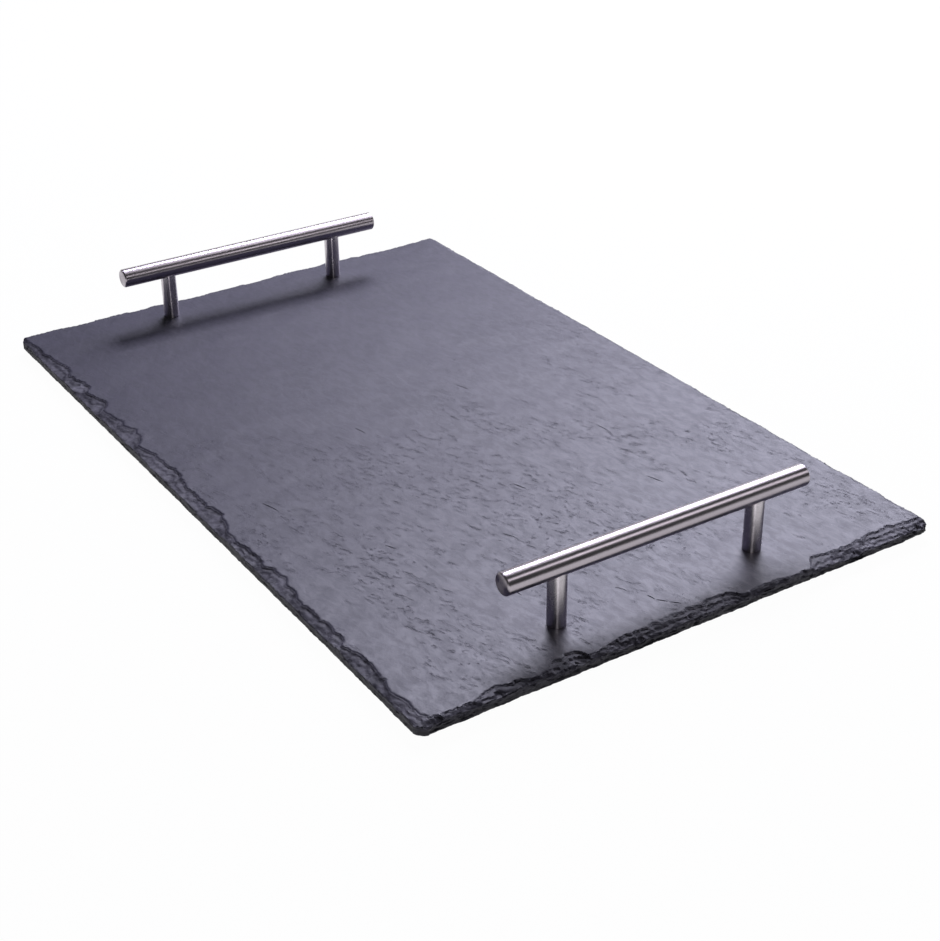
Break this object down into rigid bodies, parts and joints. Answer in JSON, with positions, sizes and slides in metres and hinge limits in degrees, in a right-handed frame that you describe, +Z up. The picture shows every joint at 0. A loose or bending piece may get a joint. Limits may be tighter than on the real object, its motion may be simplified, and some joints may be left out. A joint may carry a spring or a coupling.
{
  "type": "slate serving board",
  "caption": "Rectangular slate serving board with chipped edges and a round steel bar handle on posts across each end, standing on small rubber feet.",
  "frame": {"origin": "middle of the board's outline, on the plane that the feet stand on", "axes": "+X along the board's length towards the front handle, +Y across the board to the right, +Z up"},
  "size_m": [0.5, 0.32, 0.0505],
  "materials": {
    "slate": "riven, matt to satin",
    "brushed_bar": "brushed along the bar",
    "brushed_post": "brushed along the post",
    "plated_fastener": "bright zinc plate",
    "rubber_foot": "matt black"
  },
  "bodies": {
    "root": {"slate_board": "slate", "front_bar": "brushed_bar", "rear_bar": "brushed_bar", "front_left_post": "brushed_post", "front_right_post": "brushed_post", "rear_left_post": "brushed_post", "rear_right_post": "brushed_post", "front_left_bar_stud": "plated_fastener", "front_right_bar_stud": "plated_fastener", "rear_left_bar_stud": "plated_fastener", "rear_right_bar_stud": "plated_fastener", "front_left_screw": "plated_fastener", "front_right_screw": "plated_fastener", "rear_left_screw": "plated_fastener", "rear_right_screw": "plated_fastener", "front_left_washer": "plated_fastener", "front_right_washer": "plated_fastener", "rear_left_washer": "plated_fastener", "rear_right_washer": "plated_fastener", "front_left_foot": "rubber_foot", "front_right_foot": "rubber_foot", "rear_left_foot": "rubber_foot", "rear_right_foot": "rubber_foot"}
  },
  "joints": []
}
